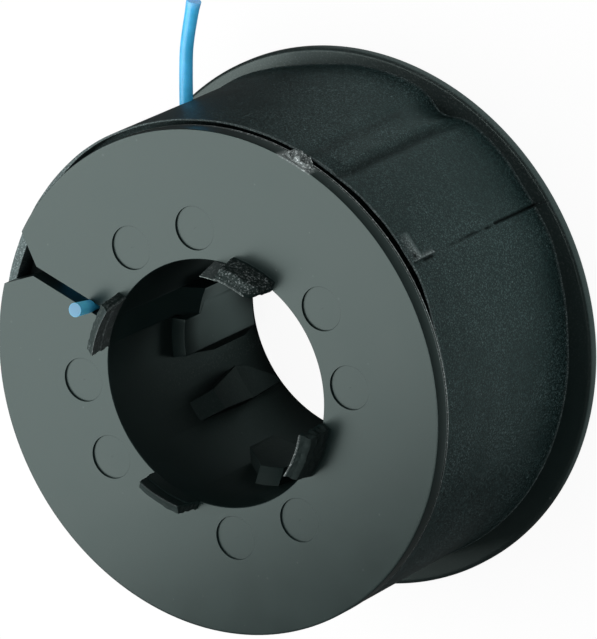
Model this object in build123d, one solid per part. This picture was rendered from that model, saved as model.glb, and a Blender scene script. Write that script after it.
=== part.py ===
"""Trimmer line spool: a moulded bobbin, the cutting line wound on it, and the band wrapped round the winding.

Millimetres. The spool stands on the back of its large flange, its axis is +Z, and the origin is the centre of
that back face. Angles are counted from +X, where one of the teeth stands beside the line slot.
"""

import os
from math import cos, radians, sin, tan

from build123d import *

# Moulded spool: hub and flanges
FACE_HEIGHT = 36.3
REAR_FLANGE_RADIUS = 38.3
REAR_FLANGE_THICKNESS = 1.8
REAR_FLANGE_ROUND = 0.5
FRONT_FLANGE_RADIUS = 35.3
FRONT_FLANGE_THICKNESS = 2.2
FRONT_FLANGE_ROUND = 0.3
FRONT_FLANGE_BACK_ROUND = 0.25
BORE_RADIUS = 17.3
HUB_WALL = 1.9

# Drive teeth round the front of the bore
TOOTH_COUNT = 4
TOOTH_HEIGHT = 5.0
TOOTH_WALL = 1.4
TOOTH_LEAN = 0.6
TOOTH_BASE_WIDTH = 7.8
TOOTH_TIP_WIDTH = 6.5
TOOTH_TIP_FLAT = 0.8
TOOTH_CHAMFER_HEIGHT = 0.8
TOOTH_ROOT = 0.6

# Ejector marks on the front face, in pairs between the teeth
MARK_CIRCLE_RADIUS = 21.6
MARK_RADIUS = 3.05
MARK_DEPTH = 0.3
MARK_HALF_ANGLE = 15.0

# Line slot in the front flange: a narrow channel from beside the hub and a flared mouth at the rim
SLOT_ANGLE = 0.9
SLOT_WIDTH = 1.55
SLOT_HUB_GAP = 0.4
SLOT_OVERRUN = 0.5
MOUTH_DEPTH = 4.1
MOUTH_HALF_ANGLE = 42.0

# Cams inside the bore, each kind twice, half a turn apart
CAM_REACH = 2.1
CAM_BURY = 0.5
CAM_TURNS = (0.0, 180.0)
PAD_ANGLE = 23.0
PAD_WIDTH = 5.3
PAD_FOOT = 3.3
PAD_TOP = 20.6
PAD_SPREAD = 1.2
PAD_SPREAD_TOP = 11.0
WEDGE_ANGLE = 6.0
WEDGE_WIDTH = 4.3
WEDGE_CREST = 17.2
WEDGE_RAMP_LENGTH = 2.8
RIB_ANGLE = 60.0
RIB_WIDTH = 3.0
RIB_BELLY = 1.7
RIB_FOOT = 2.2
RIB_STEP = 10.4
RIB_STEP_DROP = 0.7
RIB_CREST = 17.2
RIB_RAMP_LENGTH = 3.5
BLOCK_ANGLE = 116.0
BLOCK_WIDTH = 3.8
BLOCK_FOOT = 14.0
BLOCK_CREST = 24.0
BLOCK_RAMP_LENGTH = 1.6
BLOCK_TOE = 4.1
BLOCK_TOE_TOP = 20.2

# Gate vestige left on the rim of the front flange
GATE_ANGLE = -89.5
GATE_LENGTH = 4.2
GATE_HEIGHT = 1.8
GATE_PROUD = 0.55
GATE_ROOT = 1.5

# Cutting line
LINE_DIAMETER = 1.9
LINE_CLEARANCE = 0.1
WINDING_RADIUS = 33.9
WINDING_HEADROOM = 4.5
HUB_CLEARANCE = 0.1
OUTER_END_ANGLE = -37.7
OUTER_END_HEIGHT = 16.5
OUTER_END_LEAN = 29.0
OUTER_END_CURL = 13.0
OUTER_END_FIRST_RUN = 9.2
OUTER_END_SECOND_RUN = 8.0
OUTER_END_BURY = 1.6
INNER_END_HUB_GAP = 1.35
INNER_END_PROUD = 3.9
INNER_END_SWING = 0.45
INNER_END_SPREAD = 0.1
INNER_END_BEND = 4.0

# Band wrapped round the winding
BAND_CLEARANCE = 0.1
BAND_GAP = 0.8
BAND_HOLE_CLEARANCE = 0.15
BAND_EDGE_ROUND = 0.45
BAND_THICKNESS = 2.4
# Angle in degrees, and the share of the full thickness that the band has there
BAND_STATIONS = (
    (0, 1.04),
    (20, 0.96),
    (55, 0.7),
    (95, 0.56),
    (140, 0.53),
    (165, 0.42),
    (195, 0.37),
    (215, 0.56),
    (230, 0.8),
    (252, 1.0),
    (280, 1.02),
    (300, 0.92),
    (310, 0.95),
    (322, 1.06),
    (340, 1.08),
)
VALLEY_ANGLE = -94.0
VALLEY_RADIUS = 5.0
VALLEY_DEPTH = 1.5
VALLEY_END = 27.0
VALLEY_OVERRUN = 4.0
SEAM_ANGLE = -122.7
SEAM_WIDTH = 0.45
SEAM_DEPTH = 0.7
SEAM_LENGTH = 20.0

# Worked out from the values above
HUB_RADIUS = BORE_RADIUS + HUB_WALL
FRONT_FLANGE_BACK = FACE_HEIGHT - FRONT_FLANGE_THICKNESS
TOOTH_TOP = FACE_HEIGHT + TOOTH_HEIGHT
LINE_RADIUS = LINE_DIAMETER / 2
SLOT_START = HUB_RADIUS + SLOT_HUB_GAP
SEAT_RADIUS = HUB_RADIUS + INNER_END_HUB_GAP + LINE_RADIUS
MOUTH_ROOT = FRONT_FLANGE_RADIUS - MOUTH_DEPTH
WINDING_TOP = FRONT_FLANGE_BACK - WINDING_HEADROOM
BAND_INNER_RADIUS = WINDING_RADIUS + BAND_CLEARANCE
BAND_TOP = FRONT_FLANGE_BACK - BAND_GAP
CAM_RADIUS = BORE_RADIUS - CAM_REACH
CAM_ROOT = BORE_RADIUS + CAM_BURY


def disc(radius, bottom, top):
    """A plain cylinder about the axis."""
    return Pos(0, 0, bottom) * Cylinder(radius, top - bottom, align=(Align.CENTER, Align.CENTER, Align.MIN))


def ring(inner, outer, bottom, top):
    """A plain tube about the axis."""
    return disc(outer, bottom, top) - disc(inner, bottom, top)


def rim_edges(solid):
    """The circular edges of a disc, lowest first."""
    return solid.edges().filter_by(GeomType.CIRCLE).sort_by(Axis.Z)


def turned(solid, angle):
    """The solid turned about the axis."""
    return Rot(0, 0, angle) * solid


def side_prism(outline, near, far):
    """An outline of points across and up, carried outwards along +X from near to far."""
    face = make_face(Polyline(*outline, close=True))
    return extrude(Plane.YZ.offset(near) * face, amount=far - near)


def polar(radius, angle, height):
    """A point by its distance from the axis, its angle and its height."""
    return Vector(radius * cos(radians(angle)), radius * sin(radians(angle)), height)


def make_flanges_and_hub():
    """Rear flange, front flange and hub in one, with rounded rims and the bore through them."""
    rear = disc(REAR_FLANGE_RADIUS, 0, REAR_FLANGE_THICKNESS)
    rear = fillet(rim_edges(rear), REAR_FLANGE_ROUND)
    front = disc(FRONT_FLANGE_RADIUS, FRONT_FLANGE_BACK, FACE_HEIGHT)
    front = fillet(rim_edges(front)[-1], FRONT_FLANGE_ROUND)
    front = fillet(rim_edges(front)[0], FRONT_FLANGE_BACK_ROUND)
    hub = disc(HUB_RADIUS, 0, FACE_HEIGHT)
    return rear + front + hub - disc(BORE_RADIUS, 0, FACE_HEIGHT)


def make_teeth():
    """The teeth: pieces of a leaning wall round the bore, each narrower at its tip and chamfered outside."""
    bottom = FACE_HEIGHT - TOOTH_ROOT
    chamfer_lean = TOOTH_LEAN * (1 - TOOTH_CHAMFER_HEIGHT / TOOTH_HEIGHT)
    wall = make_face(
        Polyline(
            (BORE_RADIUS, bottom),
            (BORE_RADIUS + TOOTH_WALL, bottom),
            (BORE_RADIUS + TOOTH_WALL, FACE_HEIGHT),
            (BORE_RADIUS + TOOTH_WALL - chamfer_lean, TOOTH_TOP - TOOTH_CHAMFER_HEIGHT),
            (BORE_RADIUS - TOOTH_LEAN + TOOTH_TIP_FLAT, TOOTH_TOP),
            (BORE_RADIUS - TOOTH_LEAN, TOOTH_TOP),
            (BORE_RADIUS, FACE_HEIGHT),
            close=True,
        )
    )
    wall_ring = revolve(Plane.XZ * wall, axis=Axis.Z)
    side = (
        (-TOOTH_BASE_WIDTH / 2, bottom),
        (TOOTH_BASE_WIDTH / 2, bottom),
        (TOOTH_BASE_WIDTH / 2, FACE_HEIGHT),
        (TOOTH_TIP_WIDTH / 2, TOOTH_TOP),
        (-TOOTH_TIP_WIDTH / 2, TOOTH_TOP),
        (-TOOTH_BASE_WIDTH / 2, FACE_HEIGHT),
    )
    tooth = wall_ring & side_prism(side, BORE_RADIUS / 2, BORE_RADIUS + 2 * TOOTH_WALL)
    return [turned(tooth, 360 / TOOTH_COUNT * i) for i in range(TOOTH_COUNT)]


def make_marks():
    """Shallow round recesses in the front face, one each side of the middle of every gap between teeth."""
    mark = Pos(MARK_CIRCLE_RADIUS, 0, 0) * disc(MARK_RADIUS, FACE_HEIGHT - MARK_DEPTH, FACE_HEIGHT + MARK_DEPTH)
    marks = []
    for i in range(TOOTH_COUNT):
        middle = 360 / TOOTH_COUNT * (i + 0.5)
        for side in (-1, 1):
            marks.append(turned(mark, middle + side * MARK_HALF_ANGLE))
    return marks


def make_slot():
    """The channel from the hub to the mouth, and the mouth flaring out to the rim."""
    past_rim = FRONT_FLANGE_RADIUS + MOUTH_DEPTH
    mouth_half = SLOT_WIDTH / 2 + (past_rim - MOUTH_ROOT) * tan(radians(MOUTH_HALF_ANGLE))
    outline = Polyline(
        (SLOT_START, -SLOT_WIDTH / 2),
        (MOUTH_ROOT, -SLOT_WIDTH / 2),
        (past_rim, -mouth_half),
        (past_rim, mouth_half),
        (MOUTH_ROOT, SLOT_WIDTH / 2),
        (SLOT_START, SLOT_WIDTH / 2),
        close=True,
    )
    flange_depth = FRONT_FLANGE_THICKNESS + 2 * SLOT_OVERRUN
    cutter = Pos(0, 0, FRONT_FLANGE_BACK - SLOT_OVERRUN) * extrude(make_face(outline), amount=flange_depth)
    return turned(cutter, SLOT_ANGLE)


def ramp_end(crest, length):
    """Where a cam's ramp ends inside the hub's wall, past the length that shows."""
    return crest + length * (1 + CAM_BURY / CAM_REACH)


def make_cam(section, outline, angle):
    """A ring of one section of radius and height, kept where it lies inside an outline of points across and up."""
    face = make_face(Polyline(*section, close=True))
    whole = revolve(Plane.XZ * face, axis=Axis.Z)
    return turned(whole & side_prism(outline, CAM_RADIUS / 2, HUB_RADIUS), angle)


def make_pad():
    """The plain pad, which spreads to one side towards its foot."""
    half = PAD_WIDTH / 2
    section = ((CAM_RADIUS, PAD_FOOT), (CAM_ROOT, PAD_FOOT), (CAM_ROOT, PAD_TOP), (CAM_RADIUS, PAD_TOP))
    outline = (
        (-half, PAD_FOOT),
        (half + PAD_SPREAD, PAD_FOOT),
        (half + PAD_SPREAD, PAD_SPREAD_TOP),
        (half, PAD_TOP),
        (-half, PAD_TOP),
    )
    return make_cam(section, outline, PAD_ANGLE)


def make_wedge():
    """The ramped pad beside the plain one, on the same foot."""
    half = WEDGE_WIDTH / 2
    top = ramp_end(WEDGE_CREST, WEDGE_RAMP_LENGTH)
    section = ((CAM_RADIUS, PAD_FOOT), (CAM_ROOT, PAD_FOOT), (CAM_ROOT, top), (CAM_RADIUS, WEDGE_CREST))
    outline = ((-half, PAD_FOOT), (half, PAD_FOOT), (half, top), (-half, top))
    return make_cam(section, outline, WEDGE_ANGLE)


def make_rib():
    """The narrow ramped rib, stepped back below and with a belly on one side at the step."""
    half = RIB_WIDTH / 2
    top = ramp_end(RIB_CREST, RIB_RAMP_LENGTH)
    section = (
        (CAM_ROOT, RIB_FOOT),
        (CAM_ROOT, top),
        (CAM_RADIUS, RIB_CREST),
        (CAM_RADIUS, RIB_STEP),
        (CAM_RADIUS + RIB_STEP_DROP, RIB_STEP),
        (CAM_RADIUS + RIB_STEP_DROP, RIB_FOOT),
    )
    outline = (
        (half, RIB_FOOT),
        (half, top),
        (-half, top),
        (-half, RIB_CREST),
        (-half - RIB_BELLY, RIB_STEP),
        (0, RIB_FOOT),
    )
    return make_cam(section, outline, RIB_ANGLE)


def make_block():
    """The high ramped block, with a lower toe on one side."""
    half = BLOCK_WIDTH / 2
    top = ramp_end(BLOCK_CREST, BLOCK_RAMP_LENGTH)
    section = (
        (CAM_ROOT, BLOCK_FOOT),
        (CAM_ROOT, top),
        (CAM_RADIUS, BLOCK_CREST),
        (CAM_RADIUS, BLOCK_FOOT),
    )
    outline = (
        (half, BLOCK_FOOT),
        (half, top),
        (-half, top),
        (-half, BLOCK_CREST),
        (-half - BLOCK_TOE, BLOCK_TOE_TOP),
        (-half - BLOCK_TOE, BLOCK_FOOT),
    )
    return make_cam(section, outline, BLOCK_ANGLE)


def make_cams():
    """The cams inside the bore, each kind twice."""
    kinds = (make_pad(), make_wedge(), make_rib(), make_block())
    return [turned(cam, turn) for turn in CAM_TURNS for cam in kinds]


def make_gate_vestige():
    """The broken gate on the front flange's rim, a low wedge that stands a little proud of it."""
    half = GATE_LENGTH / 2
    middle = FACE_HEIGHT - FRONT_FLANGE_THICKNESS / 2
    outline = (
        (-half, middle - GATE_HEIGHT / 2),
        (half, middle - GATE_HEIGHT / 4),
        (half * 0.6, middle + GATE_HEIGHT / 2),
        (-half * 0.7, middle + GATE_HEIGHT / 3),
    )
    lump = side_prism(outline, FRONT_FLANGE_RADIUS - GATE_ROOT, FRONT_FLANGE_RADIUS + GATE_PROUD)
    return turned(lump, GATE_ANGLE)


def swept_tube(path, radius):
    """A round bar along a path."""
    return sweep(Plane(origin=path @ 0, z_dir=path % 0) * Circle(radius), path=path)


def outer_end_path():
    """From inside the winding out through the band, leaning from the radius, with one bend."""
    start = polar(WINDING_RADIUS, OUTER_END_ANGLE, OUTER_END_HEIGHT)
    first = OUTER_END_ANGLE - OUTER_END_LEAN
    second = first - OUTER_END_CURL
    inside = start - polar(OUTER_END_BURY, first, 0)
    corner = start + polar(OUTER_END_FIRST_RUN, first, 0)
    tip = corner + polar(OUTER_END_SECOND_RUN, second, 0)
    bend = 0.8 * OUTER_END_SECOND_RUN / tan(radians(OUTER_END_CURL / 2))
    return FilletPolyline(inside, corner, tip, radius=bend)


def inner_end_path():
    """From inside the winding, near the hub, up through the slot, then leaning over the front face."""
    start = Vector(SEAT_RADIUS, 0, WINDING_TOP - LINE_RADIUS)
    corner = Vector(SEAT_RADIUS, 0, FACE_HEIGHT)
    tip = corner + Vector(INNER_END_SPREAD, -INNER_END_SWING, INNER_END_PROUD)
    return turned(FilletPolyline(start, corner, tip, radius=INNER_END_BEND), SLOT_ANGLE)


def make_spool():
    """The whole moulding."""
    spool = make_flanges_and_hub()
    spool = spool - make_slot() - swept_tube(inner_end_path(), LINE_RADIUS + LINE_CLEARANCE)
    for mark in make_marks():
        spool = spool - mark
    for piece in make_teeth() + make_cams() + [make_gate_vestige()]:
        spool = spool + piece
    return spool


def make_line():
    """The cutting line: its turns as one solid, with the two ends that stand out of it."""
    winding = ring(HUB_RADIUS + HUB_CLEARANCE, WINDING_RADIUS, REAR_FLANGE_THICKNESS, WINDING_TOP)
    return winding + swept_tube(outer_end_path(), LINE_RADIUS) + swept_tube(inner_end_path(), LINE_RADIUS)


def band_outline():
    """A smooth closed line through the stations, one span between each two of them."""
    count = len(BAND_STATIONS)
    points = []
    headings = []
    for i, (angle, share) in enumerate(BAND_STATIONS):
        radius = BAND_INNER_RADIUS + share * BAND_THICKNESS
        angle_before, share_before = BAND_STATIONS[i - 1]
        angle_after, share_after = BAND_STATIONS[(i + 1) % count]
        turn = radians((angle_after - angle_before) % 360)
        slope = (share_after - share_before) * BAND_THICKNESS / turn
        points.append(polar(radius, angle, 0))
        headings.append(polar(radius, angle + 90, 0) + polar(slope, angle, 0))
    spans = []
    for i in range(count):
        j = (i + 1) % count
        spans.append(Spline(points[i], points[j], tangents=(headings[i], headings[j])))
    return make_face(spans)


def make_band():
    """The band: an uneven sleeve with an axial valley, an end seam and the hole that the line comes out of."""
    height = BAND_TOP - REAR_FLANGE_THICKNESS
    band = Pos(0, 0, REAR_FLANGE_THICKNESS) * extrude(band_outline(), amount=height)
    band = fillet(band.edges().group_by(Axis.Z)[-1], BAND_EDGE_ROUND)
    band = band - disc(BAND_INNER_RADIUS, 0, FACE_HEIGHT)
    return band - make_valley() - make_seam() - swept_tube(outer_end_path(), LINE_RADIUS + BAND_HOLE_CLEARANCE)


def band_radius(angle):
    """The band's outer radius near an angle, from the nearest station."""
    nearest = min(BAND_STATIONS, key=lambda s: abs((s[0] - angle + 180) % 360 - 180))
    return BAND_INNER_RADIUS + nearest[1] * BAND_THICKNESS


def make_valley():
    """A leaning round cutter: deepest at the rear flange, and clear of the band near its front edge."""
    surface = band_radius(VALLEY_ANGLE)
    low = Vector(surface - VALLEY_DEPTH + VALLEY_RADIUS, 0, REAR_FLANGE_THICKNESS)
    high = Vector(surface + VALLEY_RADIUS, 0, VALLEY_END)
    along = (high - low).normalized()
    path = Line(low - along * VALLEY_OVERRUN, high + along * VALLEY_OVERRUN)
    return turned(swept_tube(path, VALLEY_RADIUS), VALLEY_ANGLE)


def make_seam():
    """The gap at the band's overlapped end, from the rear edge up."""
    surface = band_radius(SEAM_ANGLE)
    gap = Box(4 * SEAM_DEPTH, SEAM_WIDTH, SEAM_LENGTH, align=(Align.MIN, Align.CENTER, Align.MIN))
    return turned(Pos(surface - SEAM_DEPTH, 0, REAR_FLANGE_THICKNESS) * gap, SEAM_ANGLE)


def main():
    os.makedirs("parts", exist_ok=True)
    export_step(make_spool(), "parts/spool.step")
    export_step(make_line(), "parts/cutting_line.step")
    export_step(make_band(), "parts/line_band.step")


if __name__ == "__main__":
    main()
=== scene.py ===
from math import atan2, cos, degrees, exp, pi, radians, sin, sqrt, tan

import bpy
from mathutils import Matrix, Vector, noise


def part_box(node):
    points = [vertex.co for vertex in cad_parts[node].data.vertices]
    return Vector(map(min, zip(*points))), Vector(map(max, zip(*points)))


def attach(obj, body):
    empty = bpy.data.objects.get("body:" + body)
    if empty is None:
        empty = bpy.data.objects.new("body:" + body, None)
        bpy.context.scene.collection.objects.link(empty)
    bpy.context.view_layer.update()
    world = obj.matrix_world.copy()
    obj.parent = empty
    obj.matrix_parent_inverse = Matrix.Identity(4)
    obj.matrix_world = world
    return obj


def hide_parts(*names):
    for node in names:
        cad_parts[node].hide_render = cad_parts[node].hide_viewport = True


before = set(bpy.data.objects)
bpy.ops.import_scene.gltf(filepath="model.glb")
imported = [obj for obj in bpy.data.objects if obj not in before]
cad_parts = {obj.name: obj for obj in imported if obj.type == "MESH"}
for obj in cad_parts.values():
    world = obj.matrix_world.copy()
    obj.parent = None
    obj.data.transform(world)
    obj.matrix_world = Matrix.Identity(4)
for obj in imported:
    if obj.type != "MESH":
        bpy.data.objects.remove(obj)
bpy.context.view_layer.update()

bl_info = {
    "name": "Trimmer Line Spool",
    "version": (1, 0, 0),
    "blender": (4, 5, 0),
    "location": "View3D > Sidebar > Spool",
    "description": "Models a wound trimmer line spool over its packed solids and sets a studio for it",
    "category": "Object",
}

MM = 0.001
SPOOL_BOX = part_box("spool")
LINE_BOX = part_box("cutting_line")
BAND_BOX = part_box("line_band")


def number(name, description, default, **kind):
    """A number with a unit or subtype, for a user to change."""
    return bpy.props.FloatProperty(name=name, description=description, default=default, **kind)


def length(name, description, default):
    """A length in metres, for a user to change."""
    return number(name, description, default, unit="LENGTH")


def swatch(name, description, default):
    """A colour for a user to change."""
    return bpy.props.FloatVectorProperty(
        name=name, description=description, default=default, min=0, max=1, subtype="COLOR"
    )


class SpoolSizes(bpy.types.PropertyGroup):
    """Sizes and colour of the moulding."""

    rear_radius: length("Rear flange radius", "Outer radius of the rear flange", SPOOL_BOX[1][0])
    front_radius: length("Front flange radius", "Outer radius of the front flange", 35.3 * MM)
    rear_thickness: length("Rear flange thickness", "Thickness of the rear flange", 1.8 * MM)
    front_thickness: length("Front flange thickness", "Thickness of the front flange", 2.2 * MM)
    face_height: length("Face height", "Height of the front face above the rear one", 36.3 * MM)
    bore_radius: length("Bore radius", "Radius of the bore's plain wall", 17.3 * MM)
    hub_radius: length("Hub radius", "Outer radius of the hub under the winding", 19.2 * MM)
    tooth_top: length("Tooth top", "Height of the drive teeth's tips", SPOOL_BOX[1][2])
    plastic_colour: swatch("Plastic colour", "Colour of the plastic", (0.006, 0.0125, 0.0122))


class LineSizes(bpy.types.PropertyGroup):
    """Sizes and colour of the cutting line."""

    diameter: length("Line diameter", "Diameter of the cutting line", 1.9 * MM)
    winding_radius: length("Winding radius", "Outer radius of the wound line", LINE_BOX[1][0])
    winding_top: length("Winding top", "Height of the top of the wound line", 29.6 * MM)
    line_colour: swatch("Line colour", "Colour of the cutting line", (0.046, 0.43, 0.74))


class BandSizes(bpy.types.PropertyGroup):
    """Colour of the band round the winding."""

    band_colour: swatch("Band colour", "Colour of the band", (0.006, 0.016, 0.016))


class StudioSettings(bpy.types.PropertyGroup):
    """Camera and light."""

    lens: number("Lens", "Focal length of the camera", 479.4, unit="CAMERA")
    camera_distance: length("Camera distance", "Distance to the front face's centre", 1069.1 * MM)
    key_power: number("Key power", "Power of the lamp that the front face mirrors", 0.21, unit="POWER")
    fill_power: number("Fill power", "Power of the weaker lamp beside the key", 0.11, unit="POWER")
    ambient: number(
        "Ambient", "Strength of the plain light from all round", 0.65, min=0, max=2, subtype="FACTOR"
    )
    mirrored: number(
        "Mirrored light", "Strength of that light in glossy skins", 0.07, min=0, max=2, subtype="FACTOR"
    )


# Working tools

SAME_POINT = 0.001 * MM


def deselect():
    """Object mode with nothing selected."""
    if bpy.context.object and bpy.context.object.mode != "OBJECT":
        bpy.ops.object.mode_set(mode="OBJECT")
    bpy.ops.object.select_all(action="DESELECT")


def pick(*objects):
    """Selects these objects alone, the first one active."""
    deselect()
    for obj in objects:
        obj.select_set(True)
    bpy.context.view_layer.objects.active = objects[0]


def named(name):
    """The object just added, under this name."""
    obj = bpy.context.object
    obj.name = name
    return obj


def joined(objects):
    """The objects made one, under the first one's name."""
    pick(*objects)
    bpy.ops.object.join()
    return objects[0]


def apply_modifier(obj, kind, **settings):
    """Adds a modifier with these settings and applies it."""
    pick(obj)
    modifier = obj.modifiers.new(kind.title(), kind)
    for key, value in settings.items():
        setattr(modifier, key, value)
    bpy.ops.object.modifier_apply(modifier=modifier.name)


def bevel(obj, width, angle):
    """Rounds edges sharper than an angle in degrees."""
    limit = radians(angle)
    apply_modifier(obj, "BEVEL", width=width, segments=3, limit_method="ANGLE", angle_limit=limit)


def cut(obj, tool, operation="DIFFERENCE"):
    """Cuts a mesh with a closed tool, or joins them, and deletes the tool."""
    apply_modifier(obj, "BOOLEAN", operation=operation, object=tool, solver="EXACT")
    bpy.data.objects.remove(tool, do_unlink=True)


def edit_all():
    """Enters edit mode with all points selected."""
    bpy.ops.object.mode_set(mode="EDIT")
    bpy.ops.mesh.select_mode(type="VERT")
    bpy.ops.mesh.select_all(action="SELECT")


def weld(obj):
    """Merges points in one place and turns faces outwards."""
    pick(obj)
    edit_all()
    bpy.ops.mesh.remove_doubles(threshold=SAME_POINT)
    bpy.ops.mesh.normals_make_consistent(inside=False)
    bpy.ops.object.mode_set(mode="OBJECT")
    return obj


def spun(name, profile, steps):
    """A closed profile of radius and height, spun about the axis."""
    deselect()
    first_r, first_z = profile[0]
    bpy.ops.mesh.primitive_plane_add(size=MM, location=(first_r, 0, first_z))
    obj = named(name)
    edit_all()
    bpy.ops.mesh.merge(type="CENTER")
    closed = list(profile) + [profile[0]]
    for (r0, z0), (r1, z1) in zip(closed, closed[1:]):
        bpy.ops.mesh.extrude_region_move(TRANSFORM_OT_translate={"value": (r1 - r0, 0, z1 - z0)})
    weld(obj)
    edit_all()
    bpy.ops.mesh.spin(steps=steps, angle=2 * pi, center=(0, 0, 0), axis=(0, 0, 1))
    weld(obj)
    bpy.ops.object.transform_apply(location=True, rotation=True, scale=True)
    return obj


def block(name, cuts, place):
    """A divided cube, each point put where place sends its three shares from 0 to 1."""
    deselect()
    bpy.ops.mesh.primitive_cube_add(size=1, location=(0, 0, 0))
    obj = named(name)
    bpy.ops.object.mode_set(mode="EDIT")
    bpy.ops.mesh.select_mode(type="EDGE")
    for axis, parts in enumerate(cuts):
        bpy.ops.mesh.select_all(action="DESELECT")
        bpy.ops.object.mode_set(mode="OBJECT")
        points = obj.data.vertices
        for edge in obj.data.edges:
            a, b = (points[i].co for i in edge.vertices)
            edge.select = abs(a[axis] - b[axis]) > SAME_POINT
        bpy.ops.object.mode_set(mode="EDIT")
        if parts:
            bpy.ops.mesh.subdivide(number_cuts=parts)
    bpy.ops.object.mode_set(mode="OBJECT")
    for point in obj.data.vertices:
        point.co = place(*(share + 0.5 for share in point.co))
    return weld(obj)


def prism(name, outline, bottom, top):
    """An outline of points raised from bottom to top."""
    deselect()
    bpy.ops.mesh.primitive_circle_add(vertices=len(outline), fill_type="NGON", location=(0, 0, 0))
    obj = named(name)
    for point, (x, y) in zip(obj.data.vertices, outline):
        point.co = (x, y, bottom)
    edit_all()
    bpy.ops.mesh.extrude_region_move(TRANSFORM_OT_translate={"value": (0, 0, top - bottom)})
    return weld(obj)


def polar(radius, angle, height=0.0):
    """A point by radius, angle in degrees and height."""
    return Vector((radius * cos(radians(angle)), radius * sin(radians(angle)), height))


def at_radius(radius, y, z):
    """A point at a radius from the axis, with its y and z."""
    return Vector((sqrt(max(radius * radius - y * y, 0)), y, z))


def turn(obj, angle):
    """Turns a mesh about the axis, in degrees."""
    obj.data.transform(Matrix.Rotation(radians(angle), 4, "Z"))
    return obj


def copy_turned(obj, angle):
    """A copy with its own mesh, turned about the axis."""
    twin = obj.copy()
    twin.data = obj.data.copy()
    bpy.context.collection.objects.link(twin)
    return turn(twin, angle)


def arc_points(centre_r, centre_z, radius, start, end, count):
    """Points on an arc of a profile, angles in degrees."""
    angles = [radians(start + (end - start) * i / count) for i in range(count + 1)]
    return [(centre_r + radius * cos(a), centre_z + radius * sin(a)) for a in angles]


def clamp(value):
    """The value kept between 0 and 1."""
    return max(0.0, min(1.0, value))


def rising(value, start, span):
    """0 up to a start, then rising to 1 over a span."""
    return clamp((value - start) / span)


def falling(value, end, span):
    """1 at first, falling over a span to 0 at an end."""
    return clamp((end - value) / span)


def bell(value, width):
    """1 at zero, falling off smoothly over a width."""
    return exp(-((value / width) ** 2))


def noise_along(value, row):
    """A noise along one value, different for each row."""
    return noise.noise(Vector((value, row, 0)))


def angle_of(point):
    """A point's angle about the axis, from 0 to 360 degrees."""
    return degrees(atan2(point.y, point.x)) % 360


def near_angle(angle, centre):
    """Signed distance in degrees between two angles."""
    return (angle - centre + 180) % 360 - 180


def round_table(table, angle):
    """A value at an angle, smoothly between a table's rows of angle and value."""
    count = len(table)
    for i in range(count):
        before, (a0, v0), (a1, v1), after = (table[(i + n) % count] for n in (-1, 0, 1, 2))
        span = (a1 - a0) % 360
        part = (angle - a0) % 360
        if part <= span:
            m0 = (v1 - before[1]) / ((a1 - before[0]) % 360) * span
            m1 = (after[1] - v0) / ((after[0] - a0) % 360) * span
            bend = 3 * (v1 - v0) - 2 * m0 - m1
            t = part / span
            return v0 + t * (m0 + t * (bend + t * (m0 + m1 - 2 * (v1 - v0))))
    raise ValueError("angle outside the table")


def finish_piece(obj, material, angle):
    """One material, smooth but for edges sharper than an angle, riding on the one body."""
    obj.data.materials.clear()
    obj.data.materials.append(material)
    pick(obj)
    bpy.ops.object.shade_smooth_by_angle(angle=radians(angle))
    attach(obj, "root")


def write_marks(obj, functions):
    """Numbers on each point, under names that a material reads."""
    for name, value in functions.items():
        marks = obj.data.attributes.new(name, "FLOAT", "POINT")
        for point, mark in zip(obj.data.vertices, marks.data):
            mark.value = value(point.co)


# Materials

# Scales of the grain, the mottle and the specks, and the share of cells that hold a speck
PLASTIC_GRAIN = (2600.0, 160.0, 1500.0, 0.02)
BAND_GRAIN = (2300.0, 130.0, 2700.0, 0.22)
BAND_COARSE_GRAIN = (900.0, 60.0, 1500.0, 0.07)
LINE_GRAIN = (1500.0, 260.0, 900.0, 0.03)
# Spread and least size of specks as a share of their cells, and how hard their edges are
SPECK_SIZES = (0.2, 0.12)
SPECK_EDGE = 9.0
# Scale, detail and roughness of a noise, and the range of its values that a smooth step spans
FLECK_NOISE = (3300.0, 3.0, 0.75)
FLECK_RANGE = (0.52, 0.66)
TORN_NOISE = (1900.0, 4.0, 0.7)
POWDER_NOISE = (4600.0, 2.0, 0.6)
POWDER_RANGE = (0.5, 0.66)
MOTTLE_RANGE = (0.3, 0.7)
PATCH_RANGE = (0.36, 0.62)
BAND_RANGE = (0.32, 0.68)
# How much a mark or noise adds, and the least value
FLECKED_PALE = (0.8, 0.2)
POWDERED_HIGHLIGHT = (0.6, 0.25)
PATCHY_DUST = (0.6, 0.25)
PLASTIC_ROUGH = (0.1, 0.28)
BAND_ROUGH = (0.12, 0.42)
LINE_ROUGH = (0.12, 0.26)
MARK_ROUGH = 0.4
CUT_ROUGH = 0.7
# Strength and depth of the bump, and heights beside the grain's own
PLASTIC_BUMP = (0.3, 0.02 * MM)
BAND_BUMP = (0.6, 0.05 * MM)
LINE_BUMP = (0.1, 0.02 * MM)
TORN_HEIGHT = 7.0
SPECK_HEIGHT = 0.8
# Shares and colours of what lies on the plain skins; the pale colours also paint highlights, and the
# band's dark colour also paints shade
PLASTIC_DUST = (0.35, (0.12, 0.13, 0.13))
PLASTIC_FLECK = (0.5, (0.30, 0.34, 0.34))
PLASTIC_PALE_AND_HIGHLIGHT = (0.9, (0.58, 0.64, 0.64))
BAND_POWDER = 0.45
BAND_SPECKS = 0.7
BAND_DUST = (0.125, 0.185, 0.185)
BAND_HIGHLIGHT = (0.32, 0.37, 0.37)
BAND_DARK_AND_SHADE = (0.003, 0.003, 0.003)
PLASTIC_SHEEN = (0.81, 1.0, 0.95, 1)
BAND_SHEEN = (0.75, 1.0, 0.99, 1)


def feed(tree, socket, value):
    """Links a socket to another, or sets its value."""
    if hasattr(value, "is_linked"):
        tree.links.new(value, socket)
    else:
        socket.default_value = value


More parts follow.
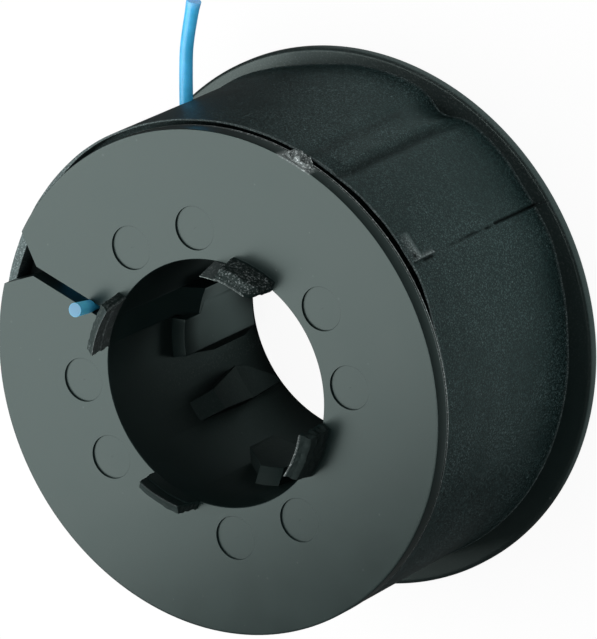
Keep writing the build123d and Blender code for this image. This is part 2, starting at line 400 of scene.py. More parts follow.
def feed_all(tree, made, **values):
    """Feeds a node's inputs by name, with _ for a space."""
    for key, value in values.items():
        feed(tree, made.inputs[key.replace("_", " ")], value)


def node(tree, kind, **settings):
    """A node with these inputs, which have a capital, and properties."""
    made = tree.nodes.new(kind)
    for key, value in settings.items():
        if key[0].isupper():
            feed_all(tree, made, **{key: value})
        else:
            setattr(made, key, value)
    return made


def math_node(tree, operation, *values, clamped=False):
    """A math node of numbers or sockets."""
    made = node(tree, "ShaderNodeMath", operation=operation, use_clamp=clamped)
    for socket, value in zip(made.inputs, values):
        feed(tree, socket, value)
    return made.outputs[0]


def times(tree, first, second, clamped=False):
    """A product."""
    return math_node(tree, "MULTIPLY", first, second, clamped=clamped)


def times_plus(tree, first, second, third):
    """A product with a third value added."""
    return math_node(tree, "MULTIPLY_ADD", first, second, third)


def vector_node(tree, operation, first, second):
    """A vector math node of a socket and a fixed vector."""
    made = node(tree, "ShaderNodeVectorMath", operation=operation)
    feed(tree, made.inputs[0], first)
    feed(tree, made.inputs[1], second)
    return made.outputs


def ramp(tree, value, low, high):
    """A smooth step of a value from 0 at low to 1 at high."""
    made = node(tree, "ShaderNodeMapRange", interpolation_type="SMOOTHSTEP", From_Min=low, From_Max=high)
    feed_all(tree, made, Value=value)
    return made.outputs["Result"]


def blend_colour(tree, factor, first, second):
    """A mix of two colours, each a value or a socket."""
    made = node(tree, "ShaderNodeMix", data_type="RGBA", Factor=factor)
    colours = [socket for socket in made.inputs if socket.type == "RGBA"]
    for socket, value in zip(colours, (first, second)):
        feed(tree, socket, value if hasattr(value, "is_linked") else (*value, 1))
    return [socket for socket in made.outputs if socket.type == "RGBA"][0]


def scaled(values, share):
    """A colour or place with each of its values multiplied."""
    return tuple(share * value for value in values)


def noise_at(tree, vector, scale, detail, roughness):
    """A noise over a piece's own coordinates."""
    made = node(tree, "ShaderNodeTexNoise", Scale=scale, Detail=detail, Roughness=roughness, Vector=vector)
    return made.outputs["Fac"]


def near_point(tree, vector, point, inner, outer):
    """1 within the inner distance of a point, falling to 0 at the outer one."""
    return ramp(tree, vector_node(tree, "DISTANCE", vector, point)["Value"], outer, inner)


def grain_group():
    """Fine grain: a height, a slow mottle and sparse specks."""
    tree = bpy.data.node_groups.new("fine_grain", "ShaderNodeTree")
    tree.interface.new_socket("Vector", in_out="INPUT", socket_type="NodeSocketVector")
    for name in ("Grain Scale", "Mottle Scale", "Speck Scale", "Speck Share"):
        tree.interface.new_socket(name, in_out="INPUT", socket_type="NodeSocketFloat")
    for name in ("Height", "Mottle", "Specks"):
        tree.interface.new_socket(name, in_out="OUTPUT", socket_type="NodeSocketFloat")
    given = tree.nodes.new("NodeGroupInput").outputs
    at = given["Vector"]
    fine = noise_at(tree, at, given["Grain Scale"], 3.0, 0.65)
    slow = noise_at(tree, at, given["Mottle Scale"], 4.0, 0.6)
    cells = node(tree, "ShaderNodeTexVoronoi", feature="F1", Vector=at, Scale=given["Speck Scale"]).outputs
    chance = node(tree, "ShaderNodeSeparateColor", Color=cells["Color"]).outputs
    chosen = math_node(tree, "LESS_THAN", chance["Red"], given["Speck Share"])
    size = times_plus(tree, chance["Green"], *SPECK_SIZES)
    near = math_node(tree, "SUBTRACT", size, cells["Distance"])
    soft = times(tree, near, SPECK_EDGE, clamped=True)
    specks = times(tree, times(tree, soft, chance["Blue"]), chosen)
    node(tree, "NodeGroupOutput", Height=fine, Mottle=slow, Specks=specks)


def put_grain(tree, vector, values):
    """Outputs of the grain group with these scales and share."""
    made = node(tree, "ShaderNodeGroup", node_tree=bpy.data.node_groups["fine_grain"])
    for socket, value in zip(made.inputs, (vector, *values)):
        feed(tree, socket, value)
    return made.outputs


def start_material(name):
    """A material, its tree, its shader and the piece's own coordinates."""
    material = bpy.data.materials.new(name)
    material.use_nodes = True
    tree = material.node_tree
    place = tree.nodes.new("ShaderNodeTexCoord")
    return material, tree, tree.nodes["Principled BSDF"], place.outputs["Object"]


def mark_input(tree, name):
    """A number that the mesh carries on its points."""
    return node(tree, "ShaderNodeAttribute", attribute_name=name).outputs["Fac"]


def bump(tree, shader, height, strength, distance):
    """Height to the shader's normal."""
    made = node(tree, "ShaderNodeBump", Strength=strength, Distance=distance, Height=height)
    feed_all(tree, shader, Normal=made.outputs["Normal"])


def plastic_material(colour):
    """Satin black plastic with dust specks, rough and flecked where torn, and pale where marked, which
    also paints highlights on the flange rims.
    """
    material, tree, shader, at = start_material("satin_black_plastic")
    fine = put_grain(tree, at, PLASTIC_GRAIN)
    torn = mark_input(tree, "torn")
    fleck = ramp(tree, noise_at(tree, at, *FLECK_NOISE), *FLECK_RANGE)
    torn_fleck = times(tree, mark_input(tree, "fleck"), fleck)
    # The pale mark also paints highlights on the flange rims
    pale_fleck = times(tree, mark_input(tree, "pale"), times_plus(tree, fleck, *FLECKED_PALE))
    mottle = ramp(tree, fine["Mottle"], *MOTTLE_RANGE)
    skin = blend_colour(tree, mottle, scaled(colour, 0.9), scaled(colour, 1.1))
    for mark, (share, tint) in (
        (fine["Specks"], PLASTIC_DUST),
        (torn_fleck, PLASTIC_FLECK),
        (pale_fleck, PLASTIC_PALE_AND_HIGHLIGHT),
    ):
        skin = blend_colour(tree, times(tree, mark, share), skin, tint)
    rough = times_plus(tree, torn, MARK_ROUGH, times_plus(tree, fine["Mottle"], *PLASTIC_ROUGH))
    feed_all(tree, shader, Base_Color=skin, Specular_Tint=PLASTIC_SHEEN, Roughness=rough)
    coarse = times(tree, torn, noise_at(tree, at, *TORN_NOISE))
    bump(tree, shader, times_plus(tree, coarse, TORN_HEIGHT, fine["Height"]), *PLASTIC_BUMP)
    return material


def band_material(colour):
    """Matt black band, grainy and dusty, dark in its seam and thread, with painted highlights at its edges
    and torn corner and painted shade inside and in its creases and hollows.
    """
    material, tree, shader, at = start_material("dusty_black_band")
    fine = put_grain(tree, at, BAND_GRAIN)
    coarse = put_grain(tree, at, BAND_COARSE_GRAIN)
    seam_and_shade = mark_input(tree, "seam_and_shade")
    mottle = ramp(tree, fine["Height"], *BAND_RANGE)
    skin = blend_colour(tree, mottle, scaled(colour, 0.6), scaled(colour, 1.5))
    patch = times_plus(tree, ramp(tree, coarse["Mottle"], *PATCH_RANGE), *PATCHY_DUST)
    powder = ramp(tree, noise_at(tree, at, *POWDER_NOISE), *POWDER_RANGE)
    specks = math_node(tree, "ADD", fine["Specks"], coarse["Specks"], clamped=True)
    grains = times_plus(tree, powder, BAND_POWDER, times(tree, specks, BAND_SPECKS))
    skin = blend_colour(tree, times(tree, grains, patch, clamped=True), skin, BAND_DUST)
    # Painted highlights on the band, broken up by the powder noise
    sparkle = times_plus(tree, powder, *POWDERED_HIGHLIGHT)
    skin = blend_colour(tree, times(tree, mark_input(tree, "pale"), sparkle), skin, BAND_HIGHLIGHT)
    # Darker in the seam and thread, and painted shade inside and in the creases and hollows
    skin = blend_colour(tree, seam_and_shade, skin, BAND_DARK_AND_SHADE)
    rough = times_plus(tree, seam_and_shade, MARK_ROUGH, times_plus(tree, fine["Mottle"], *BAND_ROUGH))
    feed_all(tree, shader, Base_Color=skin, Roughness=rough)
    feed_all(tree, shader, Specular_IOR_Level=0.25, Specular_Tint=BAND_SHEEN)
    bump(tree, shader, times_plus(tree, specks, SPECK_HEIGHT, fine["Height"]), *BAND_BUMP)
    return material


def line_material(colour, tips):
    """Smooth blue nylon with other tints at its tips, the paler ones painted highlights at its two ends,
    the last one matt.
    """
    material, tree, shader, at = start_material("blue_nylon_line")
    fine = put_grain(tree, at, LINE_GRAIN)
    pale = tuple(min(1.0, 1.15 * c + 0.02) for c in colour)
    skin = blend_colour(tree, ramp(tree, fine["Mottle"], *MOTTLE_RANGE), scaled(colour, 0.88), pale)
    # Tints at the tips: painted highlights at the two ends, and a darker cut face
    for point, inner, outer, share, tint in tips:
        near = times(tree, near_point(tree, at, point, inner, outer), share)
        skin = blend_colour(tree, near, skin, tint)
    rough = times_plus(tree, near, CUT_ROUGH, times_plus(tree, fine["Mottle"], *LINE_ROUGH))
    feed_all(tree, shader, Base_Color=skin, Roughness=rough, Subsurface_Weight=0.3)
    feed_all(tree, shader, Subsurface_Radius=(0.4, 0.8, 1.0), Subsurface_Scale=0.6 * MM)
    bump(tree, shader, fine["Height"], *LINE_BUMP)
    return material


# The moulded spool

REAR_ROUND = 0.45 * MM
FRONT_ROUND = 0.12 * MM
FRONT_BACK_ROUND = 0.15 * MM
BORE_LIP = 0.1 * MM
SUPPORT = 0.2 * MM
RIM_EDGE = 0.12 * MM
RIM_SUPPORT = 0.1 * MM
RIDGE_WIDTH = 0.3 * MM
RIM_LINE_WIDTH = 0.14 * MM
RIM_LINE_DEPTH = 0.2 * MM
RIM_LINE_SLOPE = 0.02 * MM
RIM_LINE_SPAN = (-0.16 * MM, 0.4 * MM)
# A painted highlight along the front rim's groove: the angle of its brighter side and its strength
RIM_HIGHLIGHT_SIDE = 248.0
RIM_LINE_HIGHLIGHT = 1.0
# Pale dust painted faintly all round the rear flange's rim, with a painted highlight on one side: its
# strength, that side's angle and reach, and the width of the ring
REAR_DUST_AND_HIGHLIGHT = 0.11
REAR_HIGHLIGHT_SIDE = 275.0
REAR_HIGHLIGHT_REACH = 85.0
REAR_DUST_AND_HIGHLIGHT_WIDTH = 2.0 * MM

TOOTH_ANGLES = (0.0, 90.0, 180.0, 270.0)
TOOTH_WALL = 1.4 * MM
TOOTH_SET = 0.04 * MM
TOOTH_LEAN = 0.6 * MM
TOOTH_BASE_HALF = 3.9 * MM
TOOTH_TIP_HALF = 3.25 * MM
TOOTH_LONG_HALF = 3.8 * MM
LONG_TOOTH = 0.0
SHORT_TOOTH = 270.0
TOOTH_SHORT = 0.8 * MM
TOOTH_CORNER = 1.1 * MM
CORNER_SHARE = 0.25
TOOTH_TIP_FLAT = 0.8 * MM
TOOTH_TIP_SLOPE = 0.6 * MM
TOOTH_CHAMFER = 0.8 * MM
TOOTH_ROOT = 0.4 * MM
TOOTH_LEDGE_DROP = 2.3 * MM
TOOTH_LEDGE = 0.13 * MM
RAGGED_SCALE = 1400
RAGGED_OUTSIDE = 0.13 * MM
RAGGED_ENDS = 0.22 * MM
RAGGED_TIP = 0.16 * MM
ROUGH_TIPS = (180.0, 270.0)
# By the tooth's angle: how flecked its torn skin is, and how pale the inner edge of its tip
TOOTH_FLECKS = {0: 0.4, 90: 0.1, 180: 0.05, 270: 1.0}
TOOTH_TIPS = {0: 0.12, 90: 0.2, 180: 0.9, 270: 0.7}
TORN_FROM = 0.3 * MM
TORN_SKIN = 0.35 * MM
TORN_TIP = 0.2 * MM
PALE_TIP = 0.25 * MM

FIN_ANGLE = 270.0
FIN_START = 3.3 * MM
FIN_FOOT_EDGE = 6.3 * MM
FIN_TIP_EDGE = 5.8 * MM
FIN_RISE = 4.0 * MM
FIN_SET = 0.05 * MM
FIN_LEAN = 1.05 * MM
FIN_WALL = 0.5 * MM
FIN_TAPER = 0.8
FIN_CLEAR = 0.1 * MM
FIN_SKIN = 0.2 * MM
FIN_PALE = 0.3

MARK_CIRCLE = 21.6 * MM
MARK_RADIUS = 3.05 * MM
MARK_MIDDLE = 0.01 * MM
MARK_DEPTH = 0.3 * MM
MARK_SPREAD = 15.0
MARK_LIP = 0.04 * MM

SLOT_TURN = 0.9
SLOT_HALF = 0.775 * MM
SLOT_START = 19.6 * MM
SLOT_BELOW = 1.2 * MM
SLOT_ABOVE = 0.4 * MM
MOUTH_DEPTH = 4.1 * MM
MOUTH_ANGLE = 42.0

CAM_BURIED = 17.8
CAM_BEVEL = 0.2 * MM
# Rows of height, low side, high side, high side at the bore's wall and radius, in millimetres
CAMS = (
    ("pad", 23.0, (
        (3.3, -4.4, 2.65, 4.9, 15.2), (11.0, -4.4, 2.65, 4.9, 15.2),
        (16.4, -4.4, 2.65, 4.0, 15.2), (16.9, -2.65, 2.65, 3.9, 15.2),
        (20.6, -2.65, 2.65, 3.15, 15.2),
    )),
    ("rib", 60.0, (
        (2.2, 0.55, 1.5, 1.5, 15.9), (7.0, -2.4, 1.8, 1.8, 15.9),
        (9.6, -3.2, 1.97, 1.97, 15.9), (10.38, -3.02, 2.0, 2.0, 15.9),
        (10.42, -3.0, 2.0, 2.0, 15.2), (17.2, -1.45, 1.7, 1.7, 15.2),
        (21.4, -1.45, 1.5, 1.5, 17.72),
    )),
    ("high_block", 116.0, (
        (14.0, -6.0, 1.98, 1.98, 15.2), (20.2, -6.0, 1.98, 1.98, 15.2),
        (24.0, -1.85, 1.98, 1.98, 15.2), (26.0, -1.85, 1.98, 1.98, 17.75),
    )),
    ("wedge", 6.0, (
        (3.31, -2.1, 2.2, 2.2, 15.21), (17.2, -2.1, 2.2, 2.2, 15.21),
        (20.6, -2.1, 2.2, 2.2, 17.75),
    )),
)
MATT_WALL = 0.7
MATT_WALL_ANGLE = 78.0
MATT_WALL_HALF = 48.0

GATE_ANGLE = -89.5
GATE_HALF = 2.1 * MM
GATE_PROUD = 1.25 * MM
GATE_ROOT = 0.8 * MM
GATE_RISE = 1.1 * MM
GATE_LUMP = 0.06 * MM
GATE_PLACE = 0.6
GATE_REACH = 2.8 * MM
GATE_SKIN = 0.2 * MM
MOULDING_SHARP = 22


def spool_profile(s):
    """The moulding's section, from the bore's foot round the outside and back."""
    t = s.rear_thickness
    top = s.face_height
    bore = s.bore_radius
    back = top - s.front_thickness
    r_rear = s.rear_radius - REAR_ROUND
    r_front = s.front_radius
    r_back = r_front - FRONT_BACK_ROUND
    r_face = r_front - FRONT_ROUND
    ridge = back - RIM_LINE_WIDTH - RIDGE_WIDTH
    edge = back + RIM_LINE_SLOPE + RIM_EDGE
    points = [(bore + BORE_LIP, 0), (r_rear - SUPPORT, 0)]
    points += arc_points(r_rear, REAR_ROUND, REAR_ROUND, -90, 0, 5)
    points += arc_points(r_rear, t - REAR_ROUND, REAR_ROUND, 0, 90, 5)
    points += [(r_rear - SUPPORT, t), (s.hub_radius, t), (s.hub_radius, ridge), (r_back - SUPPORT, ridge)]
    points += arc_points(r_back, ridge + FRONT_BACK_ROUND, FRONT_BACK_ROUND, -90, 0, 4)
    points += [(r_front, ridge + RIDGE_WIDTH)]
    points += [(r_front - RIM_LINE_DEPTH, ridge + RIDGE_WIDTH + RIM_LINE_SLOPE)]
    points += [(r_front - RIM_LINE_DEPTH, back)]
    points += arc_points(r_front - RIM_EDGE, edge, RIM_EDGE, -90, 0, 3)
    points += [(r_front, edge + RIM_SUPPORT)]
    points += arc_points(r_face, top - FRONT_ROUND, FRONT_ROUND, 0, 90, 4)
    points += [(r_face - SUPPORT, top), (bore + BORE_LIP, top), (bore, top - BORE_LIP), (bore, BORE_LIP)]
    return points


def mark_cutters(s):
    """Short round tools, one for each ejector mark."""
    top = s.face_height
    profile = [
        (MARK_MIDDLE, top - MARK_DEPTH),
        (MARK_RADIUS, top - MARK_DEPTH),
        (MARK_RADIUS, top - MARK_LIP),
        (MARK_RADIUS + MARK_LIP, top),
        (MARK_RADIUS + MARK_LIP, top + MM),
        (MARK_MIDDLE, top + MM),
    ]
    tool = spun("mark_tool", profile, steps=64)
    tool.data.transform(Matrix.Translation((MARK_CIRCLE, 0, 0)))
    spreads = (-MARK_SPREAD, MARK_SPREAD)
    tools = [copy_turned(tool, angle + 45 + spread) for angle in TOOTH_ANGLES for spread in spreads]
    bpy.data.objects.remove(tool, do_unlink=True)
    return tools


def slot_cutter(s):
    """The narrow channel and the mouth that opens to the rim."""
    root = s.front_radius - MOUTH_DEPTH
    past = s.front_radius + MOUTH_DEPTH
    half = SLOT_HALF + (past - root) * tan(radians(MOUTH_ANGLE))
    outline = [(root, -SLOT_HALF), (past, -half), (past, half), (root, SLOT_HALF)]
    outline += [(SLOT_START, SLOT_HALF), (SLOT_START, -SLOT_HALF)]
    bottom = s.face_height - s.front_thickness - SLOT_BELOW
    return turn(prism("slot_tool", outline, bottom, s.face_height + SLOT_ABOVE), SLOT_TURN)


def tooth_skin(s, share):
    """Radius of the teeth's inner skin at a share of their height."""
    return s.bore_radius + TOOTH_SET - TOOTH_LEAN * share


def tooth(s, angle):
    """One drive tooth: a leaning piece of wall with a ragged outside and ends."""
    foot = s.face_height - TOOTH_ROOT
    rise = s.tooth_top - s.face_height

    def place(deep, across, up):
        z = foot + (s.tooth_top - foot) * up
        share = max(0.0, (z - s.face_height) / rise)
        below = s.tooth_top - z
        tip_half = TOOTH_LONG_HALF if angle == LONG_TOOTH and across > 0.5 else TOOTH_TIP_HALF
        half = TOOTH_BASE_HALF + (tip_half - TOOTH_BASE_HALF) * share
        if angle == SHORT_TOOTH and across < 0.5:
            half -= TOOTH_SHORT
            z -= TOOTH_CORNER * share * clamp(1 - across / CORNER_SHARE) ** 2
        inner = tooth_skin(s, share)
        if share > 0 and below > TOOTH_LEDGE_DROP:
            inner -= TOOTH_LEDGE
        z -= TOOTH_TIP_SLOPE * deep * max(0.0, 4 * share - 3)
        wall = TOOTH_TIP_FLAT + (TOOTH_WALL - TOOTH_TIP_FLAT) * min(1.0, below / TOOTH_CHAMFER)
        r = inner + wall * deep
        y = half * (2 * across - 1)
        ragged = noise.noise(Vector((r + angle * MM, y, z)) * RAGGED_SCALE)
        if share > 0.02:
            if deep > 0.7:
                r += RAGGED_OUTSIDE * ragged
            if across < 0.01 or across > 0.99:
                y += RAGGED_ENDS * ragged
            if angle in ROUGH_TIPS and up > 0.99:
                z -= RAGGED_TIP * abs(ragged)
        return at_radius(r, y, z)

    return turn(block("tooth", (6, 31, 23), place), angle)


def fin(s):
    """A thin leaning fin beside one tooth."""
    foot = s.face_height - TOOTH_ROOT

    def place(deep, across, up):
        z = foot + (s.face_height + FIN_RISE - foot) * up
        share = max(0.0, (z - s.face_height) / FIN_RISE)
        edge = FIN_FOOT_EDGE + (FIN_TIP_EDGE - FIN_FOOT_EDGE) * share
        wall = FIN_WALL * (1 - FIN_TAPER * share) * (1 - deep)
        r = s.bore_radius + FIN_SET - FIN_LEAN * share - wall
        return at_radius(r, FIN_START + (edge - FIN_START) * across, z)

    return turn(block("fin", (0, 9, 6), place), FIN_ANGLE)


def cam(name, angle, rows):
    """One cam from its rows."""
    count = len(rows) - 1

    def place(deep, across, up):
        i = min(int(up * count + 1e-4), count - 1)
        t = up * count - i
        z, low, high, wide, inner = (a + (b - a) * t for a, b in zip(rows[i], rows[i + 1]))
        r = inner + (CAM_BURIED - inner) * deep
        y = low + (high + (wide - high) * deep - low) * across
        return at_radius(r, y, z) * MM

    shape = block(name, (0, 9, count - 1), place)
    bevel(shape, CAM_BEVEL, angle=40)
    return turn(shape, angle)


def gate_stub(s):
    """The torn end of the moulding gate on the front rim."""
    middle = s.face_height - s.front_thickness * GATE_PLACE

    def place(deep, across, up):
        side = 2 * across - 1
        y = GATE_HALF * side
        lump = noise.noise(Vector((y * 900, up * 2.2, 3.7)))
        lump += 0.5 * noise.noise(Vector((y * 2600, up * 7, 1.2)))
        fade = sqrt(clamp(1.02 - side ** 2))
        proud = GATE_PROUD * fade * clamp(0.55 + 0.9 * lump)
        r = s.front_radius - GATE_ROOT + (GATE_ROOT + proud) * deep
        z = middle + GATE_RISE * (0.3 + 0.65 * fade) * (2 * up - 1) + GATE_LUMP * lump * deep
        return at_radius(r, y, z)

    return turn(block("gate_stub", (2, 35, 17), place), GATE_ANGLE)


def skin_marks(s):
    """Functions for how torn, flecked and pale the moulding is at a point; the pale one also paints
    highlights on the flange rims.
    """
    gate = polar(s.front_radius, GATE_ANGLE, s.face_height - s.front_thickness * 0.5)

    def at_gate(point):
        return (point - gate).length < GATE_REACH and point.xy.length > s.front_radius - GATE_SKIN

    def past_inner(point):
        share = (point.z - s.face_height) / (s.tooth_top - s.face_height)
        return point.xy.length - tooth_skin(s, share)

    def nearest_tooth(point):
        return round(angle_of(point) / 90) * 90 % 360

    def on_fin(point):
        across = point.xy.length * sin(radians(near_angle(angle_of(point), FIN_ANGLE)))
        beside = across > TOOTH_BASE_HALF + FIN_CLEAR and point.z > s.face_height + FIN_CLEAR
        return beside and past_inner(point) < FIN_SKIN

    def on_rim_line(point):
        below = s.face_height - s.front_thickness - point.z
        at_rim = point.xy.length > s.front_radius - 0.01 * MM
        return at_rim and RIM_LINE_SPAN[0] < below < RIM_LINE_SPAN[1]

    def torn(point):
        if at_gate(point):
            return 1.0
        if point.z < s.face_height - MM and point.xy.length < s.bore_radius + BORE_LIP:
            away = abs(near_angle(angle_of(point) * 2, 2 * MATT_WALL_ANGLE)) / (2 * MATT_WALL_HALF)
            return MATT_WALL * min(1.0, 4 * clamp(1 - away))
        if point.z < s.face_height + TORN_FROM:
            return 0.0
        return 1.0 if past_inner(point) > TORN_SKIN or point.z > s.tooth_top - TORN_TIP else 0.0

    def fleck(point):
        return 1.0 if at_gate(point) else torn(point) * TOOTH_FLECKS[nearest_tooth(point)]

    def pale(point):
        if at_gate(point):
            return 1.0
        # A painted highlight along the front rim's groove, brighter on one side
        if on_rim_line(point):
            away = abs(near_angle(angle_of(point), RIM_HIGHLIGHT_SIDE)) / 20
            return RIM_LINE_HIGHLIGHT * (0.3 + 0.7 * clamp(3 - away))
        if on_fin(point):
            return FIN_PALE
        # Faint pale dust round the rear flange's rim, and a painted highlight on one side of it
        if point.z < s.rear_thickness + 0.1 * MM and point.xy.length > s.rear_radius - REAR_DUST_AND_HIGHLIGHT_WIDTH:
            away = abs(near_angle(angle_of(point), REAR_HIGHLIGHT_SIDE)) / REAR_HIGHLIGHT_REACH
            return REAR_DUST_AND_HIGHLIGHT * (0.1 + 0.9 * clamp(1 - away))
        if point.z < s.tooth_top - PALE_TIP:
            return 0.0
        return TOOTH_TIPS[nearest_tooth(point)] * clamp(1 - past_inner(point) / PALE_TIP)

    return {"torn": torn, "fleck": fleck, "pale": pale}


class SPOOL_OT_moulding(bpy.types.Operator):
    """Model the black moulding: flanges, hub, teeth, marks, slot, cams and gate"""

    bl_idname = "trimmer_spool.moulding"
    bl_label = "Model the spool"

    def execute(self, context):
        s = context.scene.spool_sizes
        body = spun("spool_moulding", spool_profile(s), steps=256)
        cut(body, joined(mark_cutters(s) + [slot_cutter(s)]))
        cut(body, joined([tooth(s, angle) for angle in TOOTH_ANGLES] + [gate_stub(s)]), "UNION")
        cut(body, fin(s), "UNION")
        shapes = [cam(*values) for values in CAMS]
        apart = [copy_turned(shape, 180) for shape in shapes]
        cut(body, joined(shapes[:3] + apart[:3]), "UNION")
        cut(body, joined(shapes[3:] + apart[3:]), "UNION")
        write_marks(body, skin_marks(s))
        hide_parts("spool")
        finish_piece(body, plastic_material(s.plastic_colour), MOULDING_SHARP)
        return {"FINISHED"}


# The cutting line

TURN_POINTS = 5
TURN_HOLLOW = 0.8
WINDING_LIFT = 0.02 * MM
WINDING_GAP = 0.1 * MM
END_BEVEL = 0.14 * MM
LINE_SHARP = 50
# Points in millimetres, each with a share of the line's thickness
OUTER_END_ROUTE = (
    (26.1, -19.3, 16.5, 1.0), (27.0, -21.0, 16.5, 1.0), (30.2, -29.0, 16.5, 0.97),
    (31.0, -31.8, 16.5, 0.97), (31.8, -36.0, 16.5, 1.0), (31.95, -36.9, 16.5, 1.1),
    (32.0, -37.3, 16.5, 1.1),
)
INNER_END_ROUTE = (
    (21.5, 0.34, 28.9, 0.8), (21.5, 0.34, 35.8, 0.8), (21.5, 0.3, 36.8, 0.95),
    (21.55, 0.1, 38.4, 1.0), (21.6, -0.12, 40.15, 1.03),
)
# Full reach, last reach, share and tint of the tips: the outer end, the inner one and its cut face; the
# pale tints at the two ends are painted highlights
OUTER_TIP_HIGHLIGHT = (0.6 * MM, 1.5 * MM, 0.7, (0.28, 0.50, 0.84))
INNER_TIP_HIGHLIGHT = (2.0 * MM, 3.4 * MM, 0.85, (0.14, 0.70, 0.98))
INNER_FACE = (0.85 * MM, 1.1 * MM, 0.8, (0.12, 0.15, 0.22))


def winding_profile(s, line):
    """The winding's section, with a row of half rounds on each side."""
    low = s.rear_thickness + WINDING_LIFT
    inner = s.hub_radius + WINDING_GAP
    rows = max(1, round((line.winding_top - low) / line.diameter))
    columns = max(1, round((line.winding_radius - inner) / line.diameter))
    row_step = (line.winding_top - low) / rows
    column_step = (line.winding_radius - inner) / columns
    points = []

    def scallops(count, step, along, out, first):
        for i in range(count):
            for k in range(TURN_POINTS):
                a = radians(180 / TURN_POINTS * (k + 0.5))
                shift = step * (i + 0.5 - 0.5 * cos(a))
                sink = line.diameter / 2 * TURN_HOLLOW * (1 - sin(a))
                points.append(tuple(first[n] + along[n] * shift - out[n] * sink for n in (0, 1)))

    scallops(columns, column_step, (1, 0), (0, -1), (inner, low))
    scallops(rows, row_step, (0, 1), (1, 0), (line.winding_radius, low))
    scallops(columns, column_step, (-1, 0), (0, 1), (line.winding_radius, line.winding_top))
    scallops(rows, row_step, (0, -1), (-1, 0), (inner, line.winding_top))
    return points


def line_tube(name, route, radius):
    """A round length of line along a smooth route."""
    curve = bpy.data.curves.new(name, "CURVE")
    curve.dimensions = "3D"
    curve.resolution_u = 10
    curve.bevel_depth = radius
    curve.bevel_resolution = 8
    curve.use_fill_caps = True
    path = curve.splines.new("NURBS")
    path.points.add(len(route) - 1)
    for knot, (x, y, z, share) in zip(path.points, route):
        knot.co = (x * MM, y * MM, z * MM, 1)
        knot.radius = share
    path.order_u = 3
    path.use_endpoint_u = True
    obj = bpy.data.objects.new(name, curve)
    bpy.context.collection.objects.link(obj)
    pick(obj)
    bpy.ops.object.convert(target="MESH")
    return weld(bpy.context.object)


class SPOOL_OT_line(bpy.types.Operator):
    """Model the cutting line: its wound turns and the two ends that stand out"""

    bl_idname = "trimmer_spool.line"
    bl_label = "Model the line"

    def execute(self, context):
        line = context.scene.line_sizes
        winding = spun("blue_line", winding_profile(context.scene.spool_sizes, line), steps=144)
        radius = line.diameter / 2
        ends = [line_tube("outer_end", OUTER_END_ROUTE, radius)]
        ends += [line_tube("inner_end", INNER_END_ROUTE, radius)]
        for end in ends:
            bevel(end, END_BEVEL, LINE_SHARP)
        joined([winding] + ends)
        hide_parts("cutting_line")
        outer, inner = (scaled(route[-1][:3], MM) for route in (OUTER_END_ROUTE, INNER_END_ROUTE))
        tips = ((outer, *OUTER_TIP_HIGHLIGHT), (inner, *INNER_TIP_HIGHLIGHT), (inner, *INNER_FACE))
        finish_piece(winding, line_material(line.line_colour, tips), LINE_SHARP)
        return {"FINISHED"}


# The band round the winding

BAND_STEPS = 600
BAND_ROWS = 96
BAND_SHARP = 60
BAND_LOW = BAND_BOX[0][2] / MM
# Angles in degrees; here and below, radii and heights are in millimetres
FOOT_RADII = (
    (0, 36.5), (20, 36.3), (55, 35.7), (95, 35.35), (140, 35.3), (165, 35.0), (185, 34.8),
    (197, 34.83), (206, 34.9), (215, 35.3), (222, 35.6), (229, 36.05), (235, 36.05), (243, 36.2),
    (248, 36.5), (254, 36.6), (261, 36.6), (273, 36.6), (283, 36.65), (290, 36.5), (297, 36.1),
    (305, 36.0), (314, 36.35), (322, 36.7), (340, 36.6),
)
FRONT_RADII = (
    (0, 36.5), (20, 36.3), (55, 35.7), (95, 35.3), (140, 35.25), (165, 34.95), (180, 34.8),
    (197, 34.85), (208, 34.95), (213, 35.05), (219, 35.1), (224, 35.2), (229, 35.6), (235, 35.85),
    (240, 35.7), (244, 35.8), (250, 35.85), (255, 35.8), (261, 35.7), (268, 35.65), (280, 35.7),
    (300, 35.9), (315, 36.15), (330, 36.5), (345, 36.5),
)
FRONT_HEIGHTS = (
    (0, 33.3), (140, 33.45), (165, 33.55), (205, 33.6), (214, 33.55), (222, 33.4), (230, 33.25),
    (238, 33.1), (262, 33.25), (285, 33.3), (320, 33.3),
)
FRONT_WAVE = 0.12
SKIN_WAVE = 0.1
FOOT_FLARE = 0.3
FOOT_REACH = 1.3
LIP_ROUND = 0.1
# Painted highlights on the band's front edge and foot
EDGE_HIGHLIGHT = 0.5
FOOT_HIGHLIGHT = 0.3
# Painted shade on the band's inside
INSIDE_SHADE = 0.8
BAND_INSIDE = 34.1
BAND_WALL = 0.2
BAND_LIP = 1.1
BAND_LIP_REACH = 20
BAND_SHOULDER = 29.9
# Inner radius and wall of the dark sheet folded in over the winding's outer turns, standing for the shade
# on the winding's top
SHADE_SHEET_RADIUS = 30.0
SHADE_SHEET_WALL = 0.12
VALLEY_ANGLE = 266.8
VALLEY_WIDTH = 4.3
VALLEY_DEPTH = 1.65
VALLEY_REACH = 5.0
# Spans of heights are a height and the length over which something comes or goes
CREASE_ANGLE = 262.7
CREASE_WANDER = 0.35
CREASE_LEAD = 0.8
CREASE_RISE = 0.5
CREASE_ROLL = 2.6
CREASE_GROOVE = 0.3
CREASE_FADE = 9.0
CREASE_FOOT = (1.8, 3.0)
CREASE_TOP = (34.5, 4.0)
# Painted shade along the crease
CREASE_SHADE = 0.5
FOLD_ANGLE = 271.2
FOLD_DENT = 0.14
FOLD_SPAN = (7, 4)
